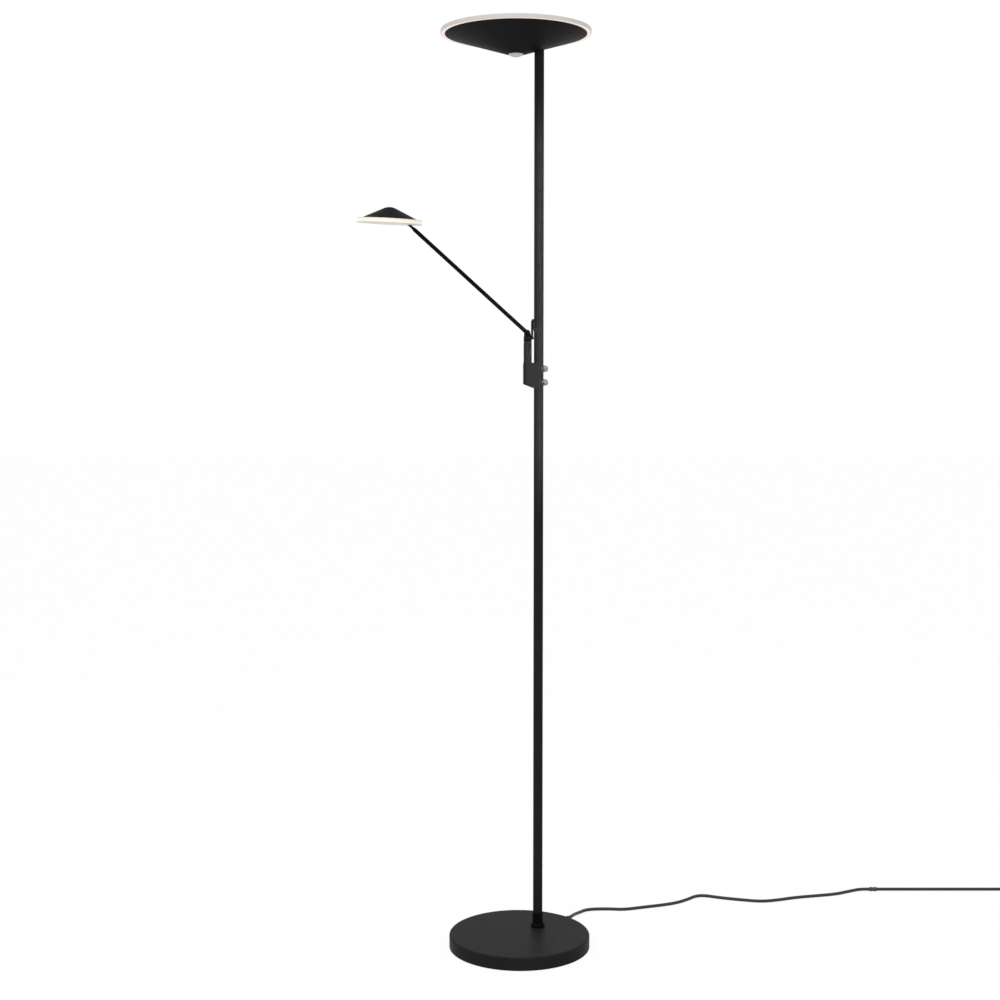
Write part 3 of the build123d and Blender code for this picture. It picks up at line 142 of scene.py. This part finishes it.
# Grained finishes: darkest and lightest colour, range of roughness, grains per metre and their depth.
# Each is a slot of the record, apart from the lighter black of the poles, housing and base cover, and
# lead_sheath, which is for a single piece.
GRAINED = {
    "matt_black": dict(
        dark=(0.0042, 0.0042, 0.0044), light=(0.0048, 0.0048, 0.005), rough=(0.49, 0.53),
        grain=1500.0, depth=0.02 * MM, specular_ior_level=0.027),
    # A little glossier copy of the matt black, whose extra lightness is painted light on the poles, housing
    # and base cover
    "satin_and_painted_light_black": dict(
        dark=(0.0145, 0.0145, 0.015), light=(0.017, 0.017, 0.0175), rough=(0.45, 0.5),
        grain=1500.0, depth=0.02 * MM, specular_ior_level=0.03),
    "cast_weight": dict(
        dark=(0.05, 0.05, 0.05), light=(0.09, 0.088, 0.085), rough=(0.6, 0.8),
        grain=500.0, depth=0.2 * MM),
    "plain_steel": dict(
        dark=(0.42, 0.42, 0.43), light=(0.55, 0.55, 0.55), rough=(0.3, 0.45),
        grain=2500.0, depth=0.01 * MM, metallic=1.0),
    "heat_plate": dict(
        dark=(0.66, 0.66, 0.67), light=(0.76, 0.76, 0.77), rough=(0.35, 0.5),
        grain=1800.0, depth=0.01 * MM, metallic=1.0),
    "knob_black": dict(
        dark=(0.016, 0.016, 0.016), light=(0.024, 0.024, 0.024), rough=(0.4, 0.5),
        grain=3000.0, depth=0.01 * MM),
    "black_rubber": dict(
        dark=(0.012, 0.012, 0.012), light=(0.02, 0.02, 0.02), rough=(0.65, 0.8),
        grain=2500.0, depth=0.03 * MM),
    "washer_plastic": dict(
        dark=(0.03, 0.03, 0.03), light=(0.05, 0.05, 0.05), rough=(0.5, 0.6),
        grain=3000.0, depth=0.01 * MM),
    "cord_sheath": dict(
        dark=(0.018, 0.018, 0.019), light=(0.03, 0.03, 0.031), rough=(0.45, 0.6),
        grain=2200.0, depth=0.03 * MM, patch=40.0, specular_ior_level=0.3),
    "lead_sheath": dict(
        dark=(0.005, 0.005, 0.005), light=(0.008, 0.008, 0.008), rough=(0.5, 0.62),
        grain=2600.0, depth=0.02 * MM, patch=60.0, specular_ior_level=0.15),
    "plug_plastic": dict(
        dark=(0.018, 0.018, 0.018), light=(0.03, 0.03, 0.03), rough=(0.4, 0.55),
        grain=2600.0, depth=0.02 * MM),
    "plug_brass": dict(
        dark=(0.6, 0.56, 0.48), light=(0.74, 0.7, 0.62), rough=(0.25, 0.4),
        grain=3000.0, depth=0.01 * MM, metallic=1.0),
    "light_board": dict(
        dark=(0.78, 0.78, 0.76), light=(0.88, 0.87, 0.84), rough=(0.4, 0.55),
        grain=900.0, depth=0.02 * MM),
    "dimmer_plastic": dict(
        dark=(0.03, 0.07, 0.045), light=(0.05, 0.1, 0.065), rough=(0.4, 0.6),
        grain=900.0, depth=0.02 * MM),
}
# Pieces given the lighter black, which paints light onto them
SATIN_AND_PAINTED_LIGHT_NODES = ("base_cover", "pole_lower", "pole_middle", "pole_upper", "control_housing")

# Glowing opal plastic by node: its own colour, and the colour of its glow over the reach, which runs
# out from the centre, or along the axis where one is given
OPAL_IOR = 1.49
OPAL_ROUGHNESS = (0.38, 0.46)
OPAL_PATCH = 60.0
OPAL_GRAIN = 900.0
OPAL_DEPTH = 0.01 * MM
LENS_REACH = 16 * MM
GLOWING = {
    "shade_diffuser": dict(
        name="shade_opal", colour=(0.68, 0.665, 0.64), strength=0.5,
        centre=SHADE_CENTRE, reach=(0.0, SHADE_RADIUS),
        stops=[
            (0.0, (0.6, 0.54, 0.47)),
            (0.9, (0.6, 0.53, 0.46)),
            (0.945, (0.86, 0.6, 0.49)),
            (0.985, (0.82, 0.57, 0.46)),
            (1.0, (0.0, 0.0, 0.0)),
        ]),
    "head_diffuser": dict(
        name="head_opal", colour=(0.64, 0.61, 0.57), strength=0.42,
        centre=HEAD_CENTRE, reach=(-HEAD_HALF, HEAD_HALF), axis=HEAD_UP,
        # The side wall glows with the lamp's own light; the weaker glow of the lower face and the near-dark
        # band just above it are painted shade on the underside
        stops=[
            (0.0, (0.3, 0.27, 0.21)),
            (0.03, (0.08, 0.07, 0.05)),
            (0.07, (0.06, 0.05, 0.03)),
            (0.18, (1.0, 0.97, 0.76)),
            (0.7, (1.0, 0.97, 0.76)),
            (1.0, (0.12, 0.11, 0.08)),
        ]),
    "shade_lens": dict(
        name="lens_opal", colour=(0.6, 0.56, 0.52), strength=0.03,
        centre=LENS_CENTRE, reach=(0.0, LENS_REACH),
        stops=[
            (0.0, (1.0, 0.9, 0.8)),
            (1.0, (0.2, 0.15, 0.1)),
        ]),
}

# Turned metal of the knob caps
KNOB_COLOUR = (0.21, 0.21, 0.21)
KNOB_ROUGHNESS = (0.28, 0.46)
TURNING_MARKS = 6000.0
TURNING_DEPTH = 0.02 * MM

# Studio: strength of the surround as shown and as light, and the floor's share of plain white
WORLD_SHOWN = 1.0
WORLD_LIGHT = 0.4
WORLD_SHARE = 1.0
FLOOR_HALF = 20.0
FLOOR_GREY = 0.8
FLOOR_SHOWN = 1.03
FLOOR_SHARE = 0.89
SUN_WIDTH = math.radians(60)

# Camera, fitted to the base, the discs and the pole
CAMERA_PLACE = (-38.7 * MM, -3113.4 * MM, 1135.4 * MM)
CAMERA_PITCH = math.radians(90 - 4.414)
CAMERA_LENS = 57.405
SENSOR_WIDTH = 36.0


def new_material(name, **values):
    """A material with one principled shader, whose uniform values are set on its own sockets."""
    material = bpy.data.materials.new(name)
    material.use_nodes = True
    shader = material.node_tree.nodes["Principled BSDF"]
    for key, value in values.items():
        shader.inputs[key.replace("_", " ").title().replace("Ior", "IOR")].default_value = value
    return material, shader


def add_node(owner, kind, **values):
    """A shader node of a material or world, with its settings and input values."""
    node = owner.node_tree.nodes.new(kind)
    for key, value in values.items():
        if key in node.inputs:
            node.inputs[key].default_value = value
        else:
            setattr(node, key, value)
    return node


def link(owner, source, target):
    """Joins an output of one node to an input of another."""
    owner.node_tree.links.new(source, target)


def place(material):
    """The point on the piece, in the frame of the lamp at rest."""
    return add_node(material, "ShaderNodeTexCoord").outputs["Object"]


def noise(material, per_metre, detail=3.0, roughness=0.55):
    """Noise of a given count per metre."""
    node = add_node(material, "ShaderNodeTexNoise", Scale=per_metre, Detail=detail, Roughness=roughness)
    link(material, place(material), node.inputs["Vector"])
    return node.outputs["Fac"]


def spread(material, value, low, high, from_low=NOISE_LOW, from_high=NOISE_HIGH):
    """Maps a value, by default a noise value, to a range."""
    node = add_node(material, "ShaderNodeMapRange")
    node.inputs["From Min"].default_value = from_low
    node.inputs["From Max"].default_value = from_high
    node.inputs["To Min"].default_value = low
    node.inputs["To Max"].default_value = high
    link(material, value, node.inputs["Value"])
    return node.outputs["Result"]


def ramp(material, value, stops):
    """A colour ramp of (position, colour) stops."""
    node = add_node(material, "ShaderNodeValToRGB")
    points = node.color_ramp.elements
    while len(points) < len(stops):
        points.new(0.5)
    for point, (position, colour) in zip(points, stops):
        point.position = position
        point.color = (*colour, 1.0)
    link(material, value, node.inputs["Fac"])
    return node.outputs["Color"]


def relief(material, shader, height, depth, edge):
    """Bump of a given depth, over edges softened by a small radius."""
    bump = add_node(material, "ShaderNodeBump", Strength=1.0, Distance=depth)
    link(material, height, bump.inputs["Height"])
    bevel = add_node(material, "ShaderNodeBevel", samples=EDGE_SAMPLES, Radius=edge)
    link(material, bevel.outputs["Normal"], bump.inputs["Normal"])
    link(material, bump.outputs["Normal"], shader.inputs["Normal"])


def vector_math(material, operation, vector, fixed=None):
    """An operation on a linked vector and, where one is given, a fixed vector."""
    node = add_node(material, "ShaderNodeVectorMath", operation=operation)
    link(material, vector, node.inputs[0])
    if fixed:
        node.inputs[1].default_value = fixed
    return node


def offset_from(material, centre):
    """Offset of the point on the piece from a point of the lamp."""
    return vector_math(material, "SUBTRACT", place(material), centre).outputs["Vector"]


def radius_from(material, centre):
    """Distance from a point of the lamp."""
    return vector_math(material, "DISTANCE", place(material), centre).outputs["Value"]


def distance_along(material, centre, axis):
    """Signed distance along an axis from a point of the lamp."""
    return vector_math(material, "DOT_PRODUCT", offset_from(material, centre), axis).outputs["Value"]


def grained(name, dark, light, rough, grain, depth, patch=14.0, **values):
    """A finish with patchy colour, uneven roughness and a fine raised grain, by counts per metre."""
    material, shader = new_material(name, **values)
    patches = noise(material, patch, detail=4.0)
    colour = ramp(material, patches, [(NOISE_LOW, dark), (NOISE_HIGH, light)])
    link(material, colour, shader.inputs["Base Color"])
    smears = noise(material, ROUGHNESS_FINER * patch, detail=5.0)
    link(material, spread(material, smears, *rough), shader.inputs["Roughness"])
    relief(material, shader, noise(material, grain), depth, PAINT_EDGE)
    return material


def glowing(name, colour, strength, centre, reach, stops, axis=None):
    """Opal plastic that glows, with its glow set by the distance from a point, or along an axis."""
    material, shader = new_material(name, base_color=(*colour, 1), ior=OPAL_IOR)
    smears = noise(material, OPAL_PATCH)
    link(material, spread(material, smears, *OPAL_ROUGHNESS), shader.inputs["Roughness"])
    away = distance_along(material, centre, axis) if axis else radius_from(material, centre)
    share = spread(material, away, 0.0, 1.0, *reach)
    link(material, ramp(material, share, stops), shader.inputs["Emission Color"])
    shader.inputs["Emission Strength"].default_value = strength
    relief(material, shader, noise(material, OPAL_GRAIN, detail=2.0), OPAL_DEPTH, OPAL_EDGE)
    return material


def turned_metal(name, height):
    """Satin metal with fine turning marks about a knob's axis, which lies along X."""
    material, shader = new_material(name, metallic=1.0, base_color=(*KNOB_COLOUR, 1))
    offset = offset_from(material, (0, POLE_Y, height))
    across = vector_math(material, "MULTIPLY", offset, (0, 1, 1)).outputs["Vector"]
    radius = vector_math(material, "LENGTH", across).outputs["Value"]
    marks = add_node(material, "ShaderNodeTexNoise", noise_dimensions="1D", Scale=TURNING_MARKS, Detail=4.0)
    link(material, radius, marks.inputs["W"])
    link(material, spread(material, marks.outputs["Fac"], *KNOB_ROUGHNESS), shader.inputs["Roughness"])
    relief(material, shader, marks.outputs["Fac"], TURNING_DEPTH, METAL_EDGE)
    return material


def dress():
    """Gives each node of the frame its finish, and returns the finishes by name."""
    finishes = {name: grained(name, **values) for name, values in GRAINED.items()}
    finishes["knob_silver"] = turned_metal("knob_silver", UPPER_KNOB_Z)
    own = {node: glowing(**values) for node, values in GLOWING.items()}
    own["lower_knob_cap"] = turned_metal("lower_knob_silver", LOWER_KNOB_Z)
    own.update(dict.fromkeys(SATIN_AND_PAINTED_LIGHT_NODES, finishes["satin_and_painted_light_black"]))
    for row in frame["record"]["subparts"]:
        mesh = nodes[row["node"]].data
        mesh.materials.clear()
        mesh.materials.append(own.get(row["node"]) or finishes[row["material_slot"]])
    return finishes


def coil_radius(turn):
    """Radius of the coil: steadily in, round in half a turn, and steadily out."""
    away = abs(turn - COIL_MIDDLE)
    if away < REVERSE_HALF:
        return COIL_LEAST + COIL_PITCH * away**2 / (2 * REVERSE_HALF)
    return COIL_LEAST + COIL_PITCH * (away - 0.5 * REVERSE_HALF)


def coil_point(turn):
    """A point of the coil, clockwise from its back, one layer up where it reverses."""
    angle = math.radians(90 - 360 * turn)
    share = min(1.0, max(0.0, (turn - COIL_MIDDLE + REVERSE_HALF) / (2 * REVERSE_HALF)))
    height = COIL_Z + COIL_LAYER * 0.5 * (1 - math.cos(math.pi * share))
    middle_y = FERRULE_Y - coil_radius(0)
    radius = coil_radius(turn)
    return (COIL_X + radius * math.cos(angle), middle_y + radius * math.sin(angle), height)


def in_metres(route):
    """The points of a route that is written in millimetres."""
    return [(x * MM, y * MM, z * MM) for x, y, z in route]


def cord_points():
    """Control points of the whole cord, from the boot to the plug."""
    way = Vector((math.cos(EXIT_BEARING), math.sin(EXIT_BEARING), 0))
    start = way * BOOT_END + Vector((0, 0, EXIT_Z))
    points = [tuple(start), tuple(start + way * FIRST_RUN)]
    points += in_metres(FLOOR_POINTS)
    points.append((COIL_X - COIL_LEAD_IN, FERRULE_Y, COIL_Z))
    count = round(COIL_TURNS * POINTS_PER_TURN)
    points += [coil_point(index / POINTS_PER_TURN) for index in range(count + 1)]
    x, y, z = points[-1]
    points.append((x, y - COIL_END_RUN, z))
    return points


def spline_curve(name, points, radius):
    """A round cord along one open spline with these control points."""
    curve = bpy.data.curves.new(name, "CURVE")
    curve.dimensions = "3D"
    spline = curve.splines.new("NURBS")
    spline.points.add(len(points) - 1)
    for point, co in zip(spline.points, points):
        point.co = (*co, 1.0)
    spline.order_u = 3
    spline.use_endpoint_u = True
    spline.resolution_u = STEPS_ALONG
    curve.bevel_depth = radius
    curve.bevel_resolution = STEPS_AROUND
    curve.use_fill_caps = True
    piece = bpy.data.objects.new(name, curve)
    scene.collection.objects.link(piece)
    return piece


def mains_cord(finish):
    """The cord from the boot to the plug, with its spare length in the coil."""
    points = cord_points()
    piece = spline_curve("mains_cord", points, CORD_RADIUS)
    piece.data.materials.append(finish)
    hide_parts("power_cord", "cord_tail", "cord_coil")
    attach(piece, "stand")


def arm_lead(finish):
    """The short lead, which bends as the arm swivels, here as a fixed mesh in its rest shape."""
    points = in_metres(LEAD_ROUTE)
    curve = spline_curve("lead_curve", points, LEAD_RADIUS)
    mesh = bpy.data.meshes.new_from_object(curve.evaluated_get(bpy.context.evaluated_depsgraph_get()))
    bpy.data.objects.remove(curve)
    piece = bpy.data.objects.new("arm_lead_loop", mesh)
    scene.collection.objects.link(piece)
    mesh.materials.clear()
    mesh.materials.append(finish)
    mesh.shade_smooth()
    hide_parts("arm_lead")
    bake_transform(piece)


def seen_directly(owner):
    """One where the camera sees a surface, also in a reflection or through glass, and zero elsewhere."""
    path = add_node(owner, "ShaderNodeLightPath")
    seen = path.outputs["Is Camera Ray"]
    for name in ("Is Glossy Ray", "Is Transmission Ray"):
        most = add_node(owner, "ShaderNodeMath", operation="MAXIMUM")
        link(owner, seen, most.inputs[0])
        link(owner, path.outputs[name], most.inputs[1])
        seen = most.outputs["Value"]
    return seen


def show_white(owner, plain, white, share, output):
    """Shows a share of the white shader where it is seen directly, and the plain one to all other rays."""
    part = add_node(owner, "ShaderNodeMath", operation="MULTIPLY")
    part.inputs[1].default_value = share
    link(owner, seen_directly(owner), part.inputs[0])
    mix = add_node(owner, "ShaderNodeMixShader")
    link(owner, part.outputs["Value"], mix.inputs["Fac"])
    link(owner, plain.outputs[0], mix.inputs[1])
    link(owner, white.outputs[0], mix.inputs[2])
    link(owner, mix.outputs["Shader"], output.inputs["Surface"])


def surround():
    """A world that shows white and lights softly."""
    world = bpy.data.worlds.new("studio")
    scene.world = world
    world.use_nodes = True
    world.node_tree.nodes.clear()
    plain = add_node(world, "ShaderNodeBackground", Strength=WORLD_LIGHT, Color=(1, 1, 1, 1))
    white = add_node(world, "ShaderNodeBackground", Strength=WORLD_SHOWN, Color=(1, 1, 1, 1))
    show_white(world, plain, white, WORLD_SHARE, add_node(world, "ShaderNodeOutputWorld"))


def pale_floor():
    """A floor that is nearly white to the camera and keeps the lamp's shadow."""
    mesh = bpy.data.meshes.new("floor")
    corners = [(-1, -1), (1, -1), (1, 1), (-1, 1)]
    mesh.from_pydata([(x * FLOOR_HALF, y * FLOOR_HALF, 0) for x, y in corners], [], [(0, 1, 2, 3)])
    floor = bpy.data.objects.new("floor", mesh)
    scene.collection.objects.link(floor)
    material = bpy.data.materials.new("floor")
    material.use_nodes = True
    material.node_tree.nodes.clear()
    plain = add_node(material, "ShaderNodeBsdfDiffuse", Color=(FLOOR_GREY, FLOOR_GREY, FLOOR_GREY, 1))
    white = add_node(material, "ShaderNodeEmission", Strength=FLOOR_SHOWN)
    show_white(material, plain, white, FLOOR_SHARE, add_node(material, "ShaderNodeOutputMaterial"))
    mesh.materials.append(material)


def soft_lamp(name, place_at, aim, size, power, spread_degrees=180):
    """A soft rectangular lamp that looks at a point."""
    light = bpy.data.lights.new(name, "AREA")
    light.shape = "RECTANGLE"
    light.size = size[0]
    light.size_y = size[1]
    light.energy = power
    light.spread = math.radians(spread_degrees)
    lamp = bpy.data.objects.new(name, light)
    scene.collection.objects.link(lamp)
    lamp.location = place_at
    lamp.rotation_euler = (Vector(aim) - Vector(place_at)).to_track_quat("-Z", "Y").to_euler()


def sun(name, tilt, turn, strength):
    """A broad even lamp, by its two angles in degrees."""
    light = bpy.data.lights.new(name, "SUN")
    light.energy = strength
    light.angle = SUN_WIDTH
    lamp = bpy.data.objects.new(name, light)
    scene.collection.objects.link(lamp)
    lamp.rotation_euler = (math.radians(tilt), 0, math.radians(turn))


def lamps():
    """Even light from above, two soft boxes, and a narrow box along the upper half of the pole."""
    sun("top_light", tilt=25, turn=-20, strength=1.5)
    soft_lamp("front_box", place_at=(-0.9, -2.6, 1.7), aim=(0.0, 0.0, 1.42), size=(0.9, 0.6), power=12)
    soft_lamp("right_box", place_at=(2.4, -1.0, 1.9), aim=(0.0, 0.0, 1.2), size=(0.8, 1.4), power=6)
    soft_lamp("pole_box", place_at=(1.1, -1.9, 1.3), aim=(POLE_X, POLE_Y, 1.28), size=(0.1, 0.7),
              power=0.45, spread_degrees=5)


def camera():
    """The photograph's view."""
    data = bpy.data.cameras.new("camera")
    data.lens = CAMERA_LENS
    data.sensor_width = SENSOR_WIDTH
    view = bpy.data.objects.new("camera", data)
    scene.collection.objects.link(view)
    view.location = CAMERA_PLACE
    view.rotation_euler = (CAMERA_PITCH, 0, 0)
    scene.camera = view


camera()
surround()
pale_floor()
lamps()
finishes_by_name = dress()
mains_cord(finishes_by_name["cord_sheath"])
arm_lead(finishes_by_name["lead_sheath"])
